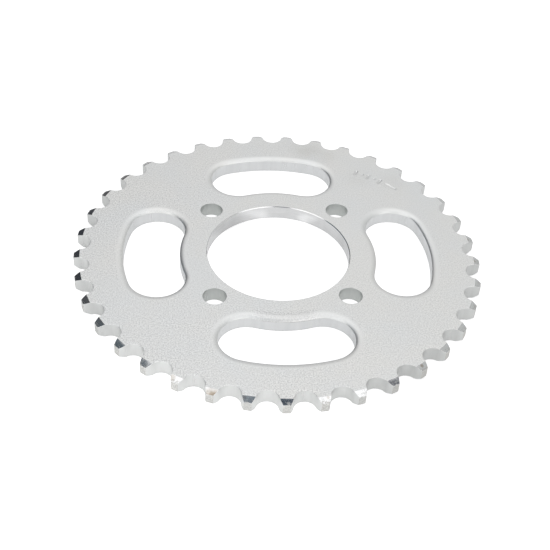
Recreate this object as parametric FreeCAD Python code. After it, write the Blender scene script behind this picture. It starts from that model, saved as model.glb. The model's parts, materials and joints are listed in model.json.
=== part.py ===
"""Rear sprocket of a motorcycle final drive: one steel plate with 37 teeth.

Frame: millimetres, +Z is the axle line, the origin sits on that line in the face that
seats on the wheel hub.  One kidney slot is centred on +X.
"""
import os
from math import cos, radians, sin, tan

import FreeCAD, Part

# ---- chain and teeth -------------------------------------------------------------------
TEETH = 37                    # number of teeth
PITCH = 12.7                  # chain pitch (half-inch roller chain)
SEAT_RADIUS = 3.95            # roller seat; takes the 7.77 mm roller of the chain
SEAT_HALF_ANGLE = 72.0        # each side of the gullet centre line, degrees
FLANK_RADIUS = 10.0           # convex flank running from the seat to the tip
TIP_RADIUS = 76.65            # turned outside radius
TOOTH_PHASE = 0.8             # first gullet, degrees round from +X

# ---- plate -----------------------------------------------------------------------------
THICKNESS = 5.8
TIP_BEVEL_RADIAL = 2.3        # tooth bevel, measured inwards from the tips
TIP_BEVEL_AXIAL = 1.0         # and down from each face

# ---- centre bore and bolt holes --------------------------------------------------------
BORE_DIAMETER = 54.0
BORE_CHAMFER = 0.25
BOLT_HOLES = 4
BOLT_CIRCLE_DIAMETER = 70.0
BOLT_HOLE_DIAMETER = 8.5
BOLT_HOLE_CHAMFER = 0.15
BOLT_HOLE_PHASE = 45.0        # degrees round from +X

# ---- kidney slots ----------------------------------------------------------------------
SLOTS = 4
SLOT_INNER_RADIUS = 37.2      # side nearest the bore
SLOT_OUTER_RADIUS = 58.3      # side nearest the teeth
SLOT_HALF_ANGLE = 16.6        # slot centre to the centre of either round end, degrees
SLOT_ROLLED_EDGE = 1.0        # rounding of the rims in the outer face
SLOT_HUB_EDGE = 0.4           # and in the hub face

UP = FreeCAD.Vector(0, 0, 1)
ORIGIN = FreeCAD.Vector(0, 0, 0)
OVERRUN = 1.0                 # how far the cutters stand out of the plate
PITCH_RADIUS = PITCH / (2 * sin(radians(180.0 / TEETH)))


def at(radius, degrees, z=0.0):
    """Point at a radius and an angle round the axle line."""
    return FreeCAD.Vector(radius * cos(radians(degrees)), radius * sin(radians(degrees)), z)


def arc(centre, radius, start, middle, end):
    """Circular arc about centre through three directions given in degrees."""
    return Part.Arc(*(centre + at(radius, a) for a in (start, middle, end))).toShape()


def prism(edges):
    """Closed outline in the hub face, drawn through the whole plate."""
    face = Part.Face(Part.Wire(Part.__sortEdges__(edges)))
    face.translate(FreeCAD.Vector(0, 0, -OVERRUN))
    return face.extrude(UP * (THICKNESS + 2 * OVERRUN))


def turned(points):
    """Solid of revolution from (radius, height) pairs."""
    outline = [FreeCAD.Vector(r, 0, z) for r, z in points]
    return Part.Face(Part.makePolygon(outline + outline[:1])).revolve(ORIGIN, UP, 360)


def repeated(solid, count, phase=0.0):
    """Copies of a cutter spread evenly round the axle line."""
    copies = []
    for i in range(count):
        copy = solid.copy()
        copy.rotate(ORIGIN, UP, phase + i * 360.0 / count)
        copies.append(copy)
    return Part.makeCompound(copies)


def blank():
    """Turned disc with the bevels that will become the tooth tips."""
    bevel_radius = TIP_RADIUS - TIP_BEVEL_RADIAL
    return turned([(0, 0), (bevel_radius, 0), (TIP_RADIUS, TIP_BEVEL_AXIAL),
                   (TIP_RADIUS, THICKNESS - TIP_BEVEL_AXIAL), (bevel_radius, THICKNESS),
                   (0, THICKNESS)])


def gullet():
    """Cutter for one tooth gap: roller seat and a convex flank on each side, on +X."""
    centre = at(PITCH_RADIUS, 0)
    a = SEAT_HALF_ANGLE
    edges = [arc(centre, SEAT_RADIUS, 180 - a, 180, 180 + a)]
    ends = []
    for side in (1, -1):
        seat_end = centre + at(SEAT_RADIUS, 180 - side * a)
        # the flank leaves the seat along its tangent and bends away from the gap
        flank_centre = centre + at(SEAT_RADIUS + FLANK_RADIUS, 180 - side * a)
        start = -side * a
        edges.append(arc(flank_centre, FLANK_RADIUS, start, start + side * 12, start + side * 24))
        ends.append(flank_centre + at(FLANK_RADIUS, start + side * 24))
        assert (edges[-1].Vertexes[0].Point - seat_end).Length < 1e-6
    far = [FreeCAD.Vector(TIP_RADIUS + 3, p.y, 0) for p in ends]
    edges += [Part.makeLine(ends[0], far[0]), Part.makeLine(far[0], far[1]),
              Part.makeLine(far[1], ends[1])]
    return prism(edges)


def kidney_slot():
    """Cutter for one lightening slot, bent round the axle line, centred on +X."""
    middle = (SLOT_INNER_RADIUS + SLOT_OUTER_RADIUS) / 2
    end_radius = (SLOT_OUTER_RADIUS - SLOT_INNER_RADIUS) / 2
    a = SLOT_HALF_ANGLE
    return prism([arc(ORIGIN, SLOT_OUTER_RADIUS, -a, 0, a),
                  arc(at(middle, a), end_radius, a, a + 90, a + 180),
                  arc(ORIGIN, SLOT_INNER_RADIUS, a, 0, -a),
                  arc(at(middle, -a), end_radius, -a + 180, -a + 270, -a + 360)])


def chamfered_hole(radius, chamfer):
    """Cutter for a round through hole with a chamfer at both faces."""
    wide = radius + chamfer + OVERRUN
    return turned([(0, -OVERRUN), (wide, -OVERRUN), (radius, chamfer),
                   (radius, THICKNESS - chamfer), (wide, THICKNESS + OVERRUN),
                   (0, THICKNESS + OVERRUN)])


def slot_rims(solid, height):
    """Edges where the slots meet the face at that height."""
    rims = []
    for edge in solid.Edges:
        lies_flat = edge.BoundBox.ZLength < 1e-6 and abs(edge.BoundBox.ZMin - height) < 1e-6
        radii = [v.Point.x ** 2 + v.Point.y ** 2 for v in edge.Vertexes]
        inner, outer = SLOT_INNER_RADIUS - 0.1, SLOT_OUTER_RADIUS + 0.1
        if lies_flat and all(inner ** 2 < r < outer ** 2 for r in radii):
            rims.append(edge)
    return rims


def sprocket():
    plate = blank()
    plate = plate.cut(repeated(kidney_slot(), SLOTS))
    plate = plate.makeFillet(SLOT_ROLLED_EDGE, slot_rims(plate, THICKNESS))
    plate = plate.makeFillet(SLOT_HUB_EDGE, slot_rims(plate, 0.0))
    bolt_hole = chamfered_hole(BOLT_HOLE_DIAMETER / 2, BOLT_HOLE_CHAMFER)
    bolt_hole.translate(at(BOLT_CIRCLE_DIAMETER / 2, 0))
    plate = plate.cut(repeated(bolt_hole, BOLT_HOLES, BOLT_HOLE_PHASE))
    plate = plate.cut(chamfered_hole(BORE_DIAMETER / 2, BORE_CHAMFER))
    return plate.cut(repeated(gullet(), TEETH, TOOTH_PHASE))


os.makedirs("parts", exist_ok=True)
shape = sprocket()
if shape.ShapeType != "Solid":
    shape = shape.Solids[0]
assert shape.isValid() and len(shape.Solids) == 1
shape.exportStep("parts/sprocket_plate.step")
print("volume %.0f mm3, %d faces, box %s" % (shape.Volume, len(shape.Faces), shape.BoundBox))
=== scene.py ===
"""Looks of the motorcycle rear sprocket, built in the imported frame.  Lengths are in metres."""

import json
from math import atan2, cos, hypot, pi, radians, sin, sqrt

import bpy
import numpy as np
from mathutils import Matrix, Vector
from mathutils.geometry import delaunay_2d_cdt

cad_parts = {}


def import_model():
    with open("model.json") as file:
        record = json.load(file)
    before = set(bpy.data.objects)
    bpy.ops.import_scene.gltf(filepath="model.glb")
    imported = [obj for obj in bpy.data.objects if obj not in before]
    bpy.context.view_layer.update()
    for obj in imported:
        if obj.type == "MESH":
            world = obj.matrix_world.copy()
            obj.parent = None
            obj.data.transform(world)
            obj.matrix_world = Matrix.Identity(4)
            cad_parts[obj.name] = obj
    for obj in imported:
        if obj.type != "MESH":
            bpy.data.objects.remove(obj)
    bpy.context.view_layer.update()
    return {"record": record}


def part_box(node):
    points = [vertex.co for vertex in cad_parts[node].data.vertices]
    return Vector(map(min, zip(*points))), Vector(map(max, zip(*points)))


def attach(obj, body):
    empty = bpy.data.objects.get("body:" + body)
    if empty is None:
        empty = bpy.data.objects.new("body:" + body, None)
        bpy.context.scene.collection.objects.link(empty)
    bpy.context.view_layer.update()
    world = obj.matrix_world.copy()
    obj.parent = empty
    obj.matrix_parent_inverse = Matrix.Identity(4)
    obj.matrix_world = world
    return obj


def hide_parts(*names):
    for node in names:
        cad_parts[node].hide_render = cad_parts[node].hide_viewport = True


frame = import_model()
plate_low, plate_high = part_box("sprocket_plate")

MM = 0.001

# ---- sizes of the plate, from the record and the CAD box ---------------------------------
mounts = {m["name"]: m for m in frame["record"]["mounts"]}
THICK = plate_high.z - plate_low.z
BORE_R = mounts["bore"]["dims"]["r_mm"] * MM
BOLT_PCR = mounts["bolts"]["dims"]["pcd_mm"] * MM / 2
BOLT_R = mounts["bolts"]["dims"]["hole_r_mm"] * MM
TIP_R = -plate_low.x                      # a tooth tip points along -X

# ---- sizes that neither of them states ---------------------------------------------------
TEETH = 37
PITCH_R = 12.7 * MM / (2 * sin(pi / TEETH))
SEAT_R, SEAT_HALF = 3.95 * MM, radians(72)
FLANK_R = 10 * MM
PHASE = radians(0.8)                      # where the first gullet stands
CORNER_R = 0.25 * MM                      # corner of a tooth tip, seen along the axle
BEVEL_WIDTH, BEVEL_DROP = 2.3 * MM, 1.0 * MM
BEVEL_R = TIP_R - BEVEL_WIDTH             # where the tooth bevel starts
BEVEL_CROWN = 0.1                         # share by which its slope grows towards the tip
SLOTS = 4
SLOT_IN, SLOT_OUT, SLOT_HALF = 37.2 * MM, 58.3 * MM, radians(16.6)
BOLTS, BOLT_PHASE = 4, 45                 # number, and degrees round to the first

# width and depth of each rim, in the outer face (1) and in the hub face (-1)
TOOTH_RIM = {1: ("round", 0.2 * MM, 0.2 * MM), -1: ("round", 0.15 * MM, 0.15 * MM)}
SLOT_RIM = {1: ("round", 2.5 * MM, 0.8 * MM), -1: ("round", 0.4 * MM, 0.3 * MM)}
HOLE_RIM = {side: ("round", 0.15 * MM, 0.15 * MM) for side in (1, -1)}
BORE_RIM = {side: ("chamfer", 0.25 * MM, 0.25 * MM) for side in (1, -1)}
TIP_RIM_SHARE = 0.4                       # how much of the tooth rim is left on the bevel
TIP_RIM_FADE = 0.9 * MM                   # it shrinks over this length before the bevel
LAND_DEPTH = 0.12 * MM                    # the tip land starts this far below the tip radius

# a plain row of dots and bars, in the place of the maker's stamped mark:
# degrees round, radius in mm, the bar's tilt in degrees against the radius, length in mm
MARKS = [(54.5, 61.0, 8, 2.2), (51.9, 61.6, 0, 0), (49.5, 61.6, 8, 2.2),
         (47.0, 62.3, 0, 0), (44.5, 62.3, 8, 2.2), (39.8, 63.3, 96, 4.4)]
MARK_R, MARK_DEPTH = 0.65 * MM, 0.28 * MM

# ---- how finely the mesh is cut ----------------------------------------------------------
SEAT_CUTS, FLANK_CUTS, BEVELED_CUTS, CORNER_CUTS, LAND_CUTS = 14, 2, 5, 4, 4
BEVEL_START = SEAT_CUTS + FLANK_CUTS      # the outline's point where the bevel starts
BEVEL_EDGE_CUTS = 7                       # pieces of the edge between face and bevel
WALL_ROWS = 3
BORE_CUTS, HOLE_CUTS = 256, 72
SLOT_OUT_CUTS, SLOT_END_CUTS, SLOT_IN_CUTS, SLOT_RIM_STEPS = 40, 44, 30, 9
MARK_CUTS, MARK_SHARES = 20, (1, 0.78, 0.52, 0.26)


# ---- outlines: points, and normals that point out of the metal ---------------------------
def arc_points(centre, radius, start, end, count, outward=1):
    """count points from start up to, not including, end; outward -1 faces the centre."""
    a = start + (end - start) * np.arange(count) / count
    n = np.stack([np.cos(a), np.sin(a)], 1)
    return np.asarray(centre) + radius * n, outward * n


def joined(pieces):
    """One outline out of several, as (points, normals)."""
    return tuple(np.vstack([piece[i] for piece in pieces]) for i in (0, 1))


def turn(points, angle):
    c, s = cos(angle), sin(angle)
    return points @ np.array([[c, s], [-s, c]])


def crossing(centre, radius, about_origin, low, high):
    """Angle on an arc where it is that far from the axle line."""
    for _ in range(60):
        a = (low + high) / 2
        r = hypot(centre[0] + radius * cos(a), centre[1] + radius * sin(a))
        low, high = (a, high) if r < about_origin else (low, a)
    return a


def tooth_outline():
    """Half gap, tip and half gap between two gullet centres; the first gap is on +X."""
    seat_c = np.array([PITCH_R, 0.0])
    flank_c = seat_c + (SEAT_R + FLANK_R) * np.array([-cos(SEAT_HALF), sin(SEAT_HALF)])
    # centre of the small corner that joins the flank to the tip land
    d1, d2, d = FLANK_R - CORNER_R, TIP_R - CORNER_R, np.hypot(*flank_c)
    along = (d2 ** 2 - d1 ** 2 + d ** 2) / (2 * d)
    off = sqrt(d2 ** 2 - along ** 2)
    u = flank_c / d
    corner = min((along * u + s * off * np.array([-u[1], u[0]]) for s in (1, -1)),
                 key=lambda q: q[1])
    flank_end = atan2(*(corner - flank_c)[::-1])
    corner_end = atan2(*corner[::-1])
    bevel_cut = crossing(flank_c, FLANK_R, BEVEL_R, -SEAT_HALF, flank_end)
    p, n = joined([
        arc_points(seat_c, SEAT_R, pi, pi - SEAT_HALF, SEAT_CUTS, -1),
        arc_points(flank_c, FLANK_R, -SEAT_HALF, bevel_cut, FLANK_CUTS),
        arc_points(flank_c, FLANK_R, bevel_cut, flank_end, BEVELED_CUTS),
        arc_points(corner, CORNER_R, flank_end, corner_end, CORNER_CUTS),
        arc_points((0, 0), TIP_R, corner_end, pi / TEETH, LAND_CUTS),
    ])
    mid = np.array([cos(pi / TEETH), sin(pi / TEETH)])
    # the other half mirrors this one in the tooth's centre line
    flip = np.array([[2 * mid[0] ** 2 - 1, 2 * mid[0] * mid[1]],
                     [2 * mid[0] * mid[1], 2 * mid[1] ** 2 - 1]])
    return np.vstack([p, [TIP_R * mid], p[:0:-1] @ flip]), np.vstack([n, [mid], n[:0:-1] @ flip])


def outer_outline():
    p, n = tooth_outline()
    turns = [PHASE + 2 * pi * k / TEETH for k in range(TEETH)]
    return joined([(turn(p, a), turn(n, a)) for a in turns])


def circle_outline(x, y, radius, count):
    return arc_points((x, y), radius, 0, 2 * pi, count, -1)


def slot_outline(angle):
    mid, end = (SLOT_IN + SLOT_OUT) / 2, (SLOT_OUT - SLOT_IN) / 2
    a = SLOT_HALF
    p, n = joined([
        arc_points((0, 0), SLOT_OUT, -a, a, SLOT_OUT_CUTS, -1),
        arc_points((mid * cos(a), mid * sin(a)), end, a, a + pi, SLOT_END_CUTS, -1),
        arc_points((0, 0), SLOT_IN, a, -a, SLOT_IN_CUTS, 1),
        arc_points((mid * cos(a), -mid * sin(a)), end, pi - a, 2 * pi - a, SLOT_END_CUTS, -1),
    ])
    return turn(p, angle), turn(n, angle)


def within(q, ring):
    """Whether a point lies inside a closed ring."""
    a, b = ring, np.roll(ring, -1, axis=0)
    spans = (a[:, 1] > q[1]) != (b[:, 1] > q[1])
    a, b = a[spans], b[spans]
    at = a[:, 0] + (q[1] - a[:, 1]) / (b[:, 1] - a[:, 1]) * (b[:, 0] - a[:, 0])
    return np.count_nonzero(at > q[0]) % 2 == 1


# ---- the plate as one closed mesh --------------------------------------------------------
def bevel_drop(radius):
    """How far the bevel lies below the plate's face at that radius."""
    t = np.maximum(0.0, radius - BEVEL_R) / BEVEL_WIDTH
    return BEVEL_DROP * t * (1 - BEVEL_CROWN + BEVEL_CROWN * t)


def bevel_slope(radius):
    t = (radius - BEVEL_R) / BEVEL_WIDTH
    return BEVEL_DROP / BEVEL_WIDTH * (1 - BEVEL_CROWN + 2 * BEVEL_CROWN * t)


def face_normal(xy, side, beveled):
    if not beveled:
        return np.array([0, 0, side])
    r = np.hypot(*xy)
    g = atan2(bevel_slope(r), 1)
    return np.array([sin(g) * xy[0] / r, sin(g) * xy[1] / r, side * cos(g)])


def rim_profile(kind, width, depth, steps):
    """(inset, drop, tilt of the normal) for each ring of a rim, from the wall to the face."""
    if kind == "chamfer":
        return [(0.0, depth, pi / 4), (width, 0.0, pi / 4)]
    # quarter ellipse, as a blanked edge rolls over
    quarter = [pi / 2 * j / steps for j in range(steps + 1)]
    return [(width * (1 - cos(t)), depth * (1 - sin(t)), atan2(width * sin(t), depth * cos(t)))
            for t in quarter]


class Plate:
    """Gathers vertices, faces, corner normals and material numbers."""

    def __init__(self):
        self.verts, self.faces, self.normals, self.mats = [], [], [], []
        self.rims = {1: [], -1: []}       # rings that bound each face's flat part

    def add(self, xy, z):
        start = len(self.verts)
        self.verts += [(x, y, h) for (x, y), h in zip(xy, np.broadcast_to(z, len(xy)))]
        return list(range(start, len(self.verts)))

    def at(self, ids):
        """Where vertices are in plan."""
        return np.array([self.verts[i][:2] for i in ids])

    def boundary(self, outline, rims, wall_mat, rim_mat, steps=5, wide=1.0, deep=1.0):
        """One wall through the plate.  rims is {side: (kind, width, depth)}.  wide and deep
        scale the rims from point to point along the outline; wall_mat may be a function of
        the distance from the axle line."""
        p, n = outline
        wide, deep = (np.broadcast_to(scale, len(p)) for scale in (wide, deep))
        wall_ends = []
        for side in (-1, 1):
            profile = rim_profile(*rims[side], steps)
            rings = []
            for inset, drop, _ in profile:
                xy = p - n * (inset * wide)[:, None]
                level = THICK / 2 - bevel_drop(np.hypot(xy[:, 0], xy[:, 1])) - drop * deep
                rings.append(self.add(xy, THICK / 2 + side * level))
            for j in range(len(rings) - 1):
                tilts = (profile[j][2], profile[j + 1][2])
                self.strip(rings[j], rings[j + 1], n, side, tilts, rim_mat)
            self.rims[side].append(rings[-1])
            wall_ends.append(rings[0])
        low_z, high_z = (np.array([self.verts[i][2] for i in ids]) for ids in wall_ends)
        last = wall_ends[0]
        for k in range(1, WALL_ROWS + 1):
            if k == WALL_ROWS:
                ids = wall_ends[1]
            else:
                ids = self.add(p, low_z + (high_z - low_z) * k / WALL_ROWS)
            self.strip(last, ids, n, 1, (0, 0), wall_mat)
            last = ids

    def strip(self, lower, upper, n, side, tilts, mat):
        """Quads between two rings; tilts turn the wall's normals towards the face's."""
        count = len(lower)
        for i in range(count):
            j = (i + 1) % count
            quad = [(lower[i], i, 0), (lower[j], j, 0), (upper[j], j, 1), (upper[i], i, 1)]
            ids = [v for v, _, _ in quad]
            reach = np.hypot(*np.mean(self.at(ids), axis=0))
            normals = []
            for v, k, which in quad:
                t = tilts[which]
                base = face_normal(np.array(self.verts[v][:2]), side, reach > BEVEL_R)
                m = cos(t) * np.array([*n[k], 0]) + sin(t) * base
                normals.append(m / np.linalg.norm(m))
            self.facet(ids, normals, mat(reach) if callable(mat) else mat)

    def facet(self, ids, normals, mat):
        """One face, wound so that it looks the way its normals point."""
        a, b, c = (np.array(self.verts[v]) for v in ids[:3])
        if np.dot(np.cross(b - a, c - a), sum(normals)) < 0:
            ids, normals = ids[::-1], normals[::-1]
        self.faces.append(ids)
        self.normals += normals
        self.mats.append(mat)

    def dent(self, side, x, y, angle, length, radius, depth, mat):
        """Shallow mark pressed into a face: a dot, or a bar of that length at that angle."""
        around = 2 * pi * (np.arange(MARK_CUTS) + 0.5) / MARK_CUTS
        out = np.stack([np.cos(around), np.sin(around)], 1)
        shift = np.sign(np.cos(around - angle))[:, None] * [cos(angle), sin(angle)] * length / 2
        rings = []
        for share in MARK_SHARES:
            height = THICK / 2 + side * (THICK / 2 - depth * (1 - share ** 2))
            steep = 2 * depth * share / radius
            normals = np.column_stack([-steep * out, np.full(MARK_CUTS, side)]) / hypot(steep, 1)
            rings.append((self.add((x, y) + shift + radius * share * out, height), list(normals)))
        self.rims[side].append(rings[0][0])
        for (wide, wide_n), (narrow, narrow_n) in zip(rings, rings[1:]):
            for i in range(MARK_CUTS):
                j = (i + 1) % MARK_CUTS
                self.facet([wide[i], wide[j], narrow[j], narrow[i]],
                           [wide_n[i], wide_n[j], narrow_n[j], narrow_n[i]], mat)
        self.facet(rings[-1][0], rings[-1][1], mat)

    def cap(self, side, face_mat, bevel_mat):
        """Fills the face between the rims, with an edge where each tooth's bevel starts."""
        ids, edges = [], []
        for ring in self.rims[side]:
            base = len(ids)
            ids += ring
            edges += [(base + i, base + (i + 1) % len(ring)) for i in range(len(ring))]
        outer_rim = self.rims[side][0]
        holes = [self.at(ring) for ring in self.rims[side][1:]]
        per_tooth = len(outer_rim) // TEETH
        for k in range(TEETH):
            # the rim's points at the start of the bevel, one on each flank of this tooth
            ends = (k * per_tooth + BEVEL_START, (k + 1) * per_tooth - BEVEL_START)
            start, end = (atan2(y, x) for x, y in self.at([outer_rim[i] for i in ends]))
            if end < start:
                end += 2 * pi
            between = [start + (end - start) * j / BEVEL_EDGE_CUTS
                       for j in range(1, BEVEL_EDGE_CUTS)]
            base = len(ids)
            ids += self.add(np.array([[BEVEL_R * cos(t), BEVEL_R * sin(t)] for t in between]),
                            THICK / 2 + side * THICK / 2)
            chain = [ends[0], *range(base, len(ids)), ends[1]]
            edges += list(zip(chain, chain[1:]))
        # in millimetres, so that the triangulation's tolerance is a nanometre
        flat = [Vector(self.verts[v][:2]) * 1000 for v in ids]
        _, _, triangles, origin, _, _ = delaunay_2d_cdt(flat, edges, [], 1, 1e-6)
        assert all(origin), "the triangulation made points of its own"
        for triangle in triangles:
            v = [ids[origin[i][0]] for i in triangle]
            xy = list(self.at(v))
            mid = sum(xy) / 3
            if any(within(mid, ring) for ring in holes):
                continue
            beveled = np.hypot(*mid) > BEVEL_R
            area = np.cross(xy[1] - xy[0], xy[2] - xy[0])
            if area * side < 0:
                v, xy = v[::-1], xy[::-1]
            self.faces.append(v)
            self.normals += [face_normal(q, side, beveled) for q in xy]
            self.mats.append(bevel_mat if beveled else face_mat)

    def build(self, name, materials):
        mesh = bpy.data.meshes.new(name)
        mesh.from_pydata([tuple(v) for v in self.verts], [], self.faces)
        for m in materials:
            mesh.materials.append(m)
        mesh.polygons.foreach_set("material_index", self.mats)
        mesh.polygons.foreach_set("use_smooth", [True] * len(self.faces))
        mesh.update()
        mesh.normals_split_custom_set([tuple(map(float, q)) for q in self.normals])
        obj = bpy.data.objects.new(name, mesh)
        bpy.context.scene.collection.objects.link(obj)
        return obj


# ---- node helpers ------------------------------------------------------------------------
class Nodes:
    """Short way to build a node tree; the methods give back output sockets."""

    def __init__(self, tree):
        self.tree = tree
        tree.nodes.clear()

    def add(self, kind, inputs, output=0, **settings):
        """One node.  An input is another node's socket, or a constant."""
        node = self.tree.nodes.new(kind)
        for key, value in settings.items():
            setattr(node, key, value)
        for key, value in inputs.items():
            if isinstance(value, bpy.types.NodeSocket):
                self.tree.links.new(value, node.inputs[key])
            else:
                node.inputs[key].default_value = value
        return node.outputs[output] if len(node.outputs) else None

    def place(self):
        return self.add("ShaderNodeTexCoord", {}, "Object")

    def is_camera_ray(self):
        return self.add("ShaderNodeLightPath", {}, "Is Camera Ray")

    def math(self, op, a, b=None, clamp=False):
        inputs = {0: a} if b is None else {0: a, 1: b}
        return self.add("ShaderNodeMath", inputs, operation=op, use_clamp=clamp)

    def plus(self, a, b):
        return self.math("ADD", a, b)

    def times(self, a, b, clamp=False):
        return self.math("MULTIPLY", a, b, clamp)

    def measure(self, op, a, b=(0, 0, 0)):
        """LENGTH of a vector, or DISTANCE or DOT_PRODUCT of two."""
        return self.add("ShaderNodeVectorMath", {0: a, 1: b}, "Value", operation=op)

    def scaled(self, vector, *scale):
        return self.add("ShaderNodeMapping", {"Vector": vector, "Scale": scale})

    def axis(self, vector, index):
        return self.add("ShaderNodeSeparateXYZ", {"Vector": vector}, index)

    def mix(self, factor, a, b, blend="MIX"):
        return self.add("ShaderNodeMix", {0: factor, 6: a, 7: b}, 2, data_type="RGBA",
                        blend_type=blend)

    def fade(self, value, start, end, low, high, ease="LINEAR"):
        """low up to start, high from end on, straight or eased between them."""
        return self.add("ShaderNodeMapRange", {"Value": value, "From Min": start, "From Max": end,
                                               "To Min": low, "To Max": high},
                        interpolation_type=ease)

    def ball(self, vector, centre, outer, inner, level):
        """level inside a soft ball, 0 outside it."""
        away = self.measure("DISTANCE", vector, centre)
        return self.fade(away, outer, inner, 0.0, level, "SMOOTHSTEP")

    def ramp(self, factor, stops):
        node = self.tree.nodes.new("ShaderNodeValToRGB")
        self.tree.links.new(factor, node.inputs[0])
        elements = node.color_ramp.elements
        while len(elements) < len(stops):
            elements.new(0.5)
        for element, (where, level) in zip(elements, stops):
            element.position = where
            element.color = (*level, 1) if hasattr(level, "__len__") else (level, level, level, 1)
        return node.outputs[0]

    def noise(self, vector, scale, detail, roughness=0.5):
        return self.add("ShaderNodeTexNoise", {"Vector": vector, "Scale": scale,
                                               "Detail": detail, "Roughness": roughness}, "Fac")

    def bump(self, height, strength, distance, normal=None):
        inputs = {"Height": height, "Strength": strength, "Distance": distance}
        if normal is not None:
            inputs["Normal"] = normal
        return self.add("ShaderNodeBump", inputs)

    def surface(self, **inputs):
        shader = self.add("ShaderNodeBsdfPrincipled", inputs)
        self.add("ShaderNodeOutputMaterial", {"Surface": shader})

    def metal(self, colour, rough, normal):
        self.surface(**{"Base Color": colour, "Metallic": 1.0, "Roughness": rough,
                        "Normal": normal})


def material(name):
    m = bpy.data.materials.new(name)
    m.use_nodes = True
    n = Nodes(m.node_tree)
    return m, n, n.place()


def polar(radius_mm, degrees, z):
    a = radians(degrees)
    return radius_mm * MM * cos(a), radius_mm * MM * sin(a), z


def scaled_tone(share, tone):
    return tuple(share * c for c in tone)


# ---- zinc-plated steel: blasted, rolled, sheared, drilled and turned ---------------------
FACE_TONE = (0.812, 0.811, 0.808)
LAND_TONE = (0.695, 0.688, 0.672)
GULLET_TONE = (0.769, 0.778, 0.770)
DRILLED_TONE = (0.675, 0.695, 0.682)
SLOT_TONE = (0.765, 0.775, 0.781)
BEVEL_TONE = (0.715, 0.72, 0.722)
BORE_TONE = (0.83, 0.833, 0.838)
COOL_TINT, WARM_TINT = (0.982, 0.996, 1.0), (0.998, 0.999, 0.987)
SMUDGE_TONE, SCUFF_TONE = (0.50, 0.47, 0.41, 1), (0.62, 0.62, 0.62, 1)
BRUISE_TONE, STAIN_TONE = (0.52, 0.51, 0.49, 1), (0.36, 0.31, 0.25, 1)

COARSE_SIDE = (-7.2, -4.8, 0)             # the way in which the grain grows, per metre
FINE_GRAIN_R, FULL_GRAIN_R = 34 * MM, 50 * MM
SCUFF_PLACE = (36.0, 270.0)               # radius in mm, degrees round
SCUFF_OUTER, SCUFF_INNER = 14 * MM, 7 * MM
SCUFF_START_R, SCUFF_FULL_R = 33.2 * MM, 35.0 * MM
BRUISE_WIDTH = 1.5 * MM                   # band at the tips that is bruised

# soft marks: degrees round, radius and size in mm, strength
SMUDGES = [(76.5, 68.0, 9.0, 0.18), (69.0, 66.0, 7.0, 0.10), (52.0, 58.0, 8.0, 0.06),
           (41.0, 66.0, 8.0, 0.06)]
STAINS = [(249.3, 76.3, 3.3, 0.9), (307.2, 75.0, 0.9, 0.8), (355.6, 74.7, 0.9, 0.4),
          (5.4, 74.7, 0.9, 0.4), (238.0, 75.4, 1.8, 0.5), (278.9, 74.8, 0.8, 0.35),
          (257.6, 75.0, 1.0, 0.3)]


def blasted_zinc(name, polish, tone):
    """Fine blasted grain under bright zinc; polish smooths it, as on a rolled rim."""
    m, n, place = material(name)
    grain = n.noise(place, 1900, 3, 0.62)
    pits = n.noise(place, 5200, 2, 0.6)
    patch = n.noise(place, 45, 3, 0.55)
    broad = n.noise(place, 14, 2)
    # the blasting is coarser in some places than in others, and most of all at one side
    coarse = n.plus(n.times(n.noise(place, 24, 2), 1.6), 0.15)
    sideways = n.measure("DOT_PRODUCT", place, COARSE_SIDE)
    coarse = n.times(coarse, n.plus(sideways, 0.94 - 0.5 * polish))
    # and finer round the bore
    reach = n.measure("LENGTH", place)
    coarse = n.times(coarse, n.fade(reach, FINE_GRAIN_R, FULL_GRAIN_R, 0.7, 1.0))
    # one slot's inner rim is scuffed
    scuff = n.times(n.ball(place, polar(*SCUFF_PLACE, THICK), SCUFF_OUTER, SCUFF_INNER, 1.0),
                    n.fade(reach, SCUFF_START_R, SCUFF_FULL_R, 0.0, 1.0))
    coarse = n.plus(coarse, n.times(scuff, 2.4))
    speck = n.plus(n.times(n.math("SUBTRACT", grain, 0.5), coarse), 0.5)
    spread = 0.225 - 0.10 * polish
    speckled = n.ramp(speck, [(0.28, scaled_tone(1 - spread, tone)), (0.50, tone),
                              (0.72, scaled_tone(1 + spread, tone))])
    tint = n.ramp(patch, [(0.35, COOL_TINT), (0.65, WARM_TINT)])
    colour = n.mix(1.0, speckled, tint, "MULTIPLY")
    for degrees, r, size, level in SMUDGES:
        smudge = n.ball(place, polar(r, degrees, THICK), size * MM, 0.2 * size * MM, level)
        smudge = n.times(smudge, n.times(n.noise(place, 210, 3, 0.6), 2.0))
        colour = n.mix(smudge, colour, SMUDGE_TONE)
    colour = n.mix(n.times(scuff, 0.5), colour, SCUFF_TONE)
    rough = n.plus(n.times(broad, 0.10), n.times(pits, 0.12))
    rough = n.plus(rough, 0.36 - 0.06 * polish)
    rough = n.math("SUBTRACT", rough, n.times(scuff, 0.08))
    strength = n.plus(n.times(scuff, 0.5), 0.55 - 0.42 * polish)
    normal = n.bump(grain, strength, 0.06 * MM)
    normal = n.bump(pits, 0.35 - 0.2 * polish, 0.02 * MM, normal)
    n.metal(colour, rough, normal)
    return m


def sheared_zinc(name, tone):
    """Walls: smooth, with faint streaks through the plate's thickness."""
    m, n, place = material(name)
    stretch = n.scaled(place, 1, 1, 0.06)
    streak = n.noise(stretch, 700, 3, 0.6)
    wide = n.noise(stretch, 330, 1)
    fine = n.noise(place, 2600, 2, 0.6)
    colour = n.ramp(n.times(n.plus(streak, wide), 0.5),
                    [(0.34, scaled_tone(0.955, tone)), (0.5, tone),
                     (0.66, scaled_tone(1.035, tone))])
    rough = n.plus(n.times(streak, 0.16), 0.22)
    normal = n.bump(wide, 0.4, 0.12 * MM)
    normal = n.bump(streak, 0.1, 0.06 * MM, normal)
    normal = n.bump(fine, 0.25, 0.02 * MM, normal)
    n.metal(colour, rough, normal)
    return m


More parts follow.
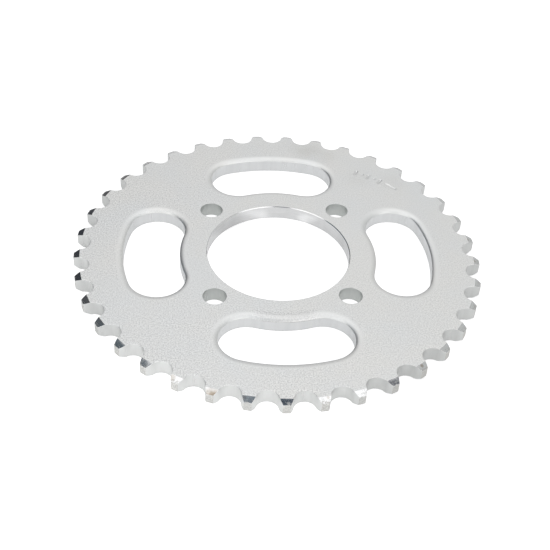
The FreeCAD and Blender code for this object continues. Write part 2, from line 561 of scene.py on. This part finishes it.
def turned_zinc(name, across_radius, waviness, chatter, tone):
    """Fine tool lines that run round the axle, cut across the radius or along the axle."""
    m, n, place = material(name)
    x, y = n.axis(place, 0), n.axis(place, 1)
    radius = n.math("SQRT", n.plus(n.times(x, x), n.times(y, y)))
    along = radius if across_radius else n.axis(place, 2)
    slow = n.scaled(place, 0.03, 0.03, 0.03)
    where = n.add("ShaderNodeCombineXYZ", {"X": n.axis(slow, 0), "Y": n.axis(slow, 1),
                                           "Z": along})
    lines = n.noise(where, 5200, 3, 0.65)
    wave = n.noise(place, 420, 2)
    colour = n.ramp(lines, [(0.3, scaled_tone(0.935, tone)), (0.7, scaled_tone(1.065, tone))])
    # broad bands across the tool lines, where the turning tool chattered
    bands = n.noise(n.scaled(place, 1, 1, 0.05), 150, 2)
    bands = n.ramp(bands, [(0.3, 1 - chatter), (0.7, 1.0)])
    colour = n.mix(1.0, colour, bands, "MULTIPLY")
    rough = n.plus(n.times(lines, 0.10), 0.07)
    if across_radius:                     # the corners by the tips are bruised and dull
        bruised = n.fade(radius, TIP_R - BRUISE_WIDTH, TIP_R, 0.0, 1.3)
        spots = n.ramp(n.noise(place, 1300, 3, 0.6), [(0.46, 0.0), (0.60, 1.0)])
        bruised = n.times(bruised, spots, clamp=True)
        colour = n.mix(bruised, colour, BRUISE_TONE)
        rough = n.plus(rough, n.times(bruised, 0.22))
    normal = n.bump(lines, 0.25, 0.02 * MM)
    normal = n.bump(wave, waviness, 0.06 * MM, normal)
    # thin brown stains on the bevels of a few teeth
    for degrees, r, size, level in STAINS:
        height = THICK - BEVEL_DROP * (r * MM - BEVEL_R) / BEVEL_WIDTH
        stain = n.ball(place, polar(r, degrees, height), size * MM, 0.3 * size * MM, level)
        stain = n.times(stain, n.times(wave, 2.0), clamp=True)
        colour = n.mix(stain, colour, STAIN_TONE)
    n.metal(colour, rough, normal)
    return m


# ---- build -------------------------------------------------------------------------------
FACE, WALL, BEVEL, BORE, HOLE, RIM, LAND, SLOT = range(8)
materials = [
    blasted_zinc("zinc_blasted", 0.0, FACE_TONE),
    sheared_zinc("zinc_sheared", GULLET_TONE),
    turned_zinc("zinc_turned_bevel", True, 0.65, 0.0, BEVEL_TONE),
    turned_zinc("zinc_turned_bore", False, 0.35, 0.14, BORE_TONE),
    sheared_zinc("zinc_drilled", DRILLED_TONE),
    blasted_zinc("zinc_rolled_rim", 1.0, FACE_TONE),
    blasted_zinc("zinc_tooth_land", 0.1, LAND_TONE),
    sheared_zinc("zinc_slot_wall", SLOT_TONE),
]

plate = Plate()
outer = outer_outline()
at_tips = np.interp(np.hypot(*outer[0].T), (BEVEL_R - TIP_RIM_FADE, BEVEL_R),
                    (1, TIP_RIM_SHARE))
plate.boundary(outer, TOOTH_RIM, lambda r: LAND if r > TIP_R - LAND_DEPTH else WALL, FACE,
               wide=at_tips, deep=at_tips)
plate.boundary(circle_outline(0, 0, BORE_R, BORE_CUTS), BORE_RIM, BORE, BORE)
for i in range(BOLTS):
    a = radians(BOLT_PHASE + 360 / BOLTS * i)
    plate.boundary(circle_outline(BOLT_PCR * cos(a), BOLT_PCR * sin(a), BOLT_R, HOLE_CUTS),
                   HOLE_RIM, HOLE, HOLE)
for i in range(SLOTS):
    slot = slot_outline(2 * pi * i / SLOTS)
    across = (np.hypot(*slot[0].T) - SLOT_IN) / (SLOT_OUT - SLOT_IN)
    plate.boundary(slot, SLOT_RIM, SLOT, RIM, steps=SLOT_RIM_STEPS,
                   wide=1.0 + 0.1 * across, deep=1.9 - 0.8 * across)
for degrees, r, tilt, length in MARKS:
    x, y, _ = polar(r, degrees, 0)
    plate.dent(1, x, y, radians(degrees + tilt), length * MM, MARK_R, MARK_DEPTH, RIM)
for side in (1, -1):
    plate.cap(side, FACE, BEVEL)

sprocket = plate.build("sprocket", materials)
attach(sprocket, "root")
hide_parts("sprocket_plate")


# ---- floor, light and camera -------------------------------------------------------------
CAMERA_TURN = radians(6.5)                # the camera's own azimuth against the slots
CAMERA_ELEVATION, CAMERA_ROLL = radians(41.76), radians(4.22)
CAMERA_DISTANCE = 429.3 * MM
CAMERA_RIGHT, CAMERA_UP = -1.0 * MM, -4.67 * MM  # how far it stands off its aim
CAMERA_FOCAL = 2.04545                    # in widths of the picture
SENSOR = 36

FLOOR_SIZE, FLOOR_GAP = 3.0, 0.2 * MM
FLOOR_DARK, FLOOR_LIGHT = 0.61, 0.63
FLOOR_GLOW, FLOOR_GLOW_SEEN = 0.15, 0.50  # everywhere, and what the camera sees on top of it
# pools of light in the floor: x and y as the camera sees them, inner and outer radius, level
GLOW = [(0, 0.014, 0.050, 0.085, 0.16), (-0.015, -0.110, 0.035, 0.085, 0.28),
        (-0.115, -0.025, 0.030, 0.060, 0.22), (-0.072, -0.078, 0.030, 0.051, 0.15),
        (0.105, -0.050, 0.030, 0.055, 0.08), (0.0080, 0.0225, 0.001, 0.0040, 0.22),
        (-0.0066, 0.0229, 0.001, 0.0038, 0.16), (-0.0165, 0.0185, 0.003, 0.010, -0.17),
        (0.0185, 0.0165, 0.003, 0.012, -0.05)]

# the sky, one layer over another, in degrees.  Azimuth 270 is the camera's side and 90 is
# beyond the plate.  A panel is azimuth, half width, low and high edge, softness (6 unless
# given); a spot is azimuth, elevation, inner and outer radius.
SKY_LEVEL = (1.32, 1.32, 1.325)
SKY = [
    ((0.59, 0.59, 0.59), "panel", (90, 100, -10, 42, 16)),
    ((0.80, 0.80, 0.805), "panel", (270, 80, -10, 24, 14)),
    ((1.15, 1.15, 1.15), "spot", (90, 90, 20, 48)),
    ((1.06, 1.06, 1.06), "spot", (270, 68, 6, 24)),
    ((1.5, 1.5, 1.5), "spot", (184, 71, 6, 13)),
    ((1.5, 1.5, 1.5), "spot", (354, 72, 6, 13)),
    ((1.50, 1.50, 1.48), "panel", (220, 16, 28, 66)),
    ((1.50, 1.50, 1.48), "panel", (311, 13, 28, 66)),
    ((0.12, 0.12, 0.125), "panel", (118, 16, -8, 20)),
    ((0.05, 0.055, 0.065), "panel", (139, 19, -2, 50)),
    ((0.11, 0.112, 0.118), "spot", (149, 41, 4, 12)),
    ((0.11, 0.14, 0.165), "panel", (172, 21, -2, 62)),
    ((0.625, 0.635, 0.63), "panel", (27, 45, 0, 56)),
    ((0.14, 0.15, 0.17), "spot", (9, 60, 4, 7)),
    ((0.35, 0.36, 0.38), "spot", (270, 50, 7, 13)),
    ((0.21, 0.25, 0.29), "spot", (250, 84.2, 6.5, 9.5)),
    ((0.045, 0.065, 0.095), "spot", (312, 83, 5.0, 7.5)),
]


def floor():
    """A light table: white to the camera, with more glow under the plate and in front of it."""
    size, z = FLOOR_SIZE, plate_low.z - FLOOR_GAP
    mesh = bpy.data.meshes.new("floor")
    mesh.from_pydata([(-size, -size, z), (size, -size, z), (size, size, z), (-size, size, z)],
                     [], [(0, 1, 2, 3)])
    obj = bpy.data.objects.new("floor", mesh)
    bpy.context.scene.collection.objects.link(obj)
    m, n, place = material("floor_white")
    colour = n.ramp(n.noise(place, 30, 2), [(0.3, FLOOR_DARK), (0.7, FLOOR_LIGHT)])
    glow = n.plus(n.times(n.is_camera_ray(), FLOOR_GLOW_SEEN), FLOOR_GLOW)
    for x, y, inner, outer_radius, level in GLOW:
        centre = (*turn(np.array([x, y]), -CAMERA_TURN), z)
        glow = n.plus(glow, n.ball(place, centre, outer_radius, inner, level))
    n.surface(**{"Base Color": colour, "Roughness": 0.9, "Emission Color": (1, 1, 1, 1),
                 "Emission Strength": glow})
    mesh.materials.append(m)


def world():
    """White tent with the panels and spots of SKY; the camera itself sees plain white."""
    w = bpy.data.worlds.new("studio")
    bpy.context.scene.world = w
    w.use_nodes = True
    n = Nodes(w.node_tree)
    towards = n.add("ShaderNodeTexCoord", {}, "Generated")
    height = n.axis(towards, 2)

    def dot(aim):
        return n.measure("DOT_PRODUCT", towards, aim)

    def soft_step(value, off, on):
        """0 at off, 1 at on, eased between them."""
        return n.fade(value, off, on, 0.0, 1.0, "SMOOTHSTEP")

    def spot(azimuth, elevation, inner, outer_radius):
        """1 inside a round patch of the sky, 0 outside it."""
        a, e = radians(azimuth) - CAMERA_TURN, radians(elevation)
        aim = (cos(e) * cos(a), cos(e) * sin(a), sin(e))
        return soft_step(dot(aim), cos(radians(outer_radius)), cos(radians(inner)))

    def panel(azimuth, half_width, low, high, soft=6):
        """1 inside a panel that stands round the table, 0 outside it."""
        a = radians(azimuth) - CAMERA_TURN
        ahead, left = dot((cos(a), sin(a), 0)), dot((-sin(a), cos(a), 0))
        off_centre = n.math("ABSOLUTE", n.math("ARCTAN2", left, ahead))
        mask = soft_step(off_centre, radians(half_width + soft), radians(half_width - soft))
        for edge, way in ((low, 1), (high, -1)):
            mask = n.times(mask, soft_step(height, sin(radians(edge - way * soft / 2)),
                                           sin(radians(edge + way * soft / 2))))
        return mask

    kinds = {"spot": spot, "panel": panel}
    colour = (*SKY_LEVEL, 1)
    for level, kind, where in SKY:
        colour = n.mix(kinds[kind](*where), colour, (*level, 1))
    colour = n.mix(n.is_camera_ray(), colour, (1, 1, 1, 1))
    light = n.add("ShaderNodeBackground", {"Color": colour, "Strength": 1.0})
    n.add("ShaderNodeOutputWorld", {"Surface": light})


def camera():
    """Long lens, 42 degrees above the plate, tilted a little about its own axis."""
    turned = Matrix.Rotation(-CAMERA_TURN, 3, "Z")
    right = turned @ Vector((1, 0, 0))
    up = turned @ Vector((0, sin(CAMERA_ELEVATION), cos(CAMERA_ELEVATION)))
    back = turned @ Vector((0, -cos(CAMERA_ELEVATION), sin(CAMERA_ELEVATION)))
    rolled_right = cos(CAMERA_ROLL) * right + sin(CAMERA_ROLL) * up
    rolled_up = -sin(CAMERA_ROLL) * right + cos(CAMERA_ROLL) * up
    data = bpy.data.cameras.new("camera")
    data.sensor_width = SENSOR
    data.lens = CAMERA_FOCAL * SENSOR
    data.clip_start, data.clip_end = 0.01, 50
    obj = bpy.data.objects.new("camera", data)
    place = CAMERA_DISTANCE * back + CAMERA_RIGHT * rolled_right + CAMERA_UP * rolled_up
    place.z += plate_low.z
    obj.matrix_world = Matrix((rolled_right, rolled_up, back)).transposed().to_4x4()
    obj.matrix_world.translation = place
    bpy.context.scene.collection.objects.link(obj)
    bpy.context.scene.camera = obj


floor()
world()
camera()
view = bpy.context.scene.view_settings
view.view_transform, view.look, view.exposure, view.gamma = "Standard", "None", 0, 1
